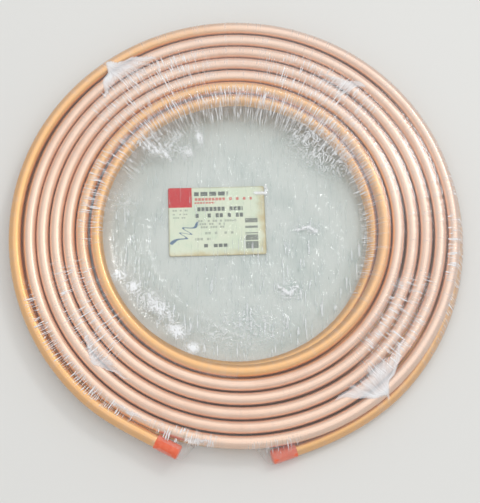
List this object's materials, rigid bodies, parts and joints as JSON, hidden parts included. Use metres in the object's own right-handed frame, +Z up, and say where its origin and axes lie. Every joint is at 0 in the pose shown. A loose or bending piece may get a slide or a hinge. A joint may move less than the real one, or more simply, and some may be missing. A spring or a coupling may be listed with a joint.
{
  "type": "copper tube coil",
  "caption": "Flat two-layer coil of soft copper tube with capped ends, sealed in clear shrink film with a paper label in its bore.",
  "frame": {"origin": "on the coil's axis, on the underside of the film that the coil lies on", "axes": "+Z up along the coil's axis; the two tube ends come out on the -Y side; +X to the right seen from there"},
  "size_m": [0.4584, 0.4614, 0.0268],
  "materials": {
    "copper": "bright drawn copper",
    "orange_plastic": "soft moulded plastic",
    "clear_film": "clear wrinkled shrink film",
    "label_paper": "printed paper, stained"
  },
  "bodies": {
    "root": {"copper_tube": "copper", "end_cap_upper": "orange_plastic", "end_cap_lower": "orange_plastic", "shrink_film": "clear_film", "label": "label_paper"}
  },
  "joints": []
}
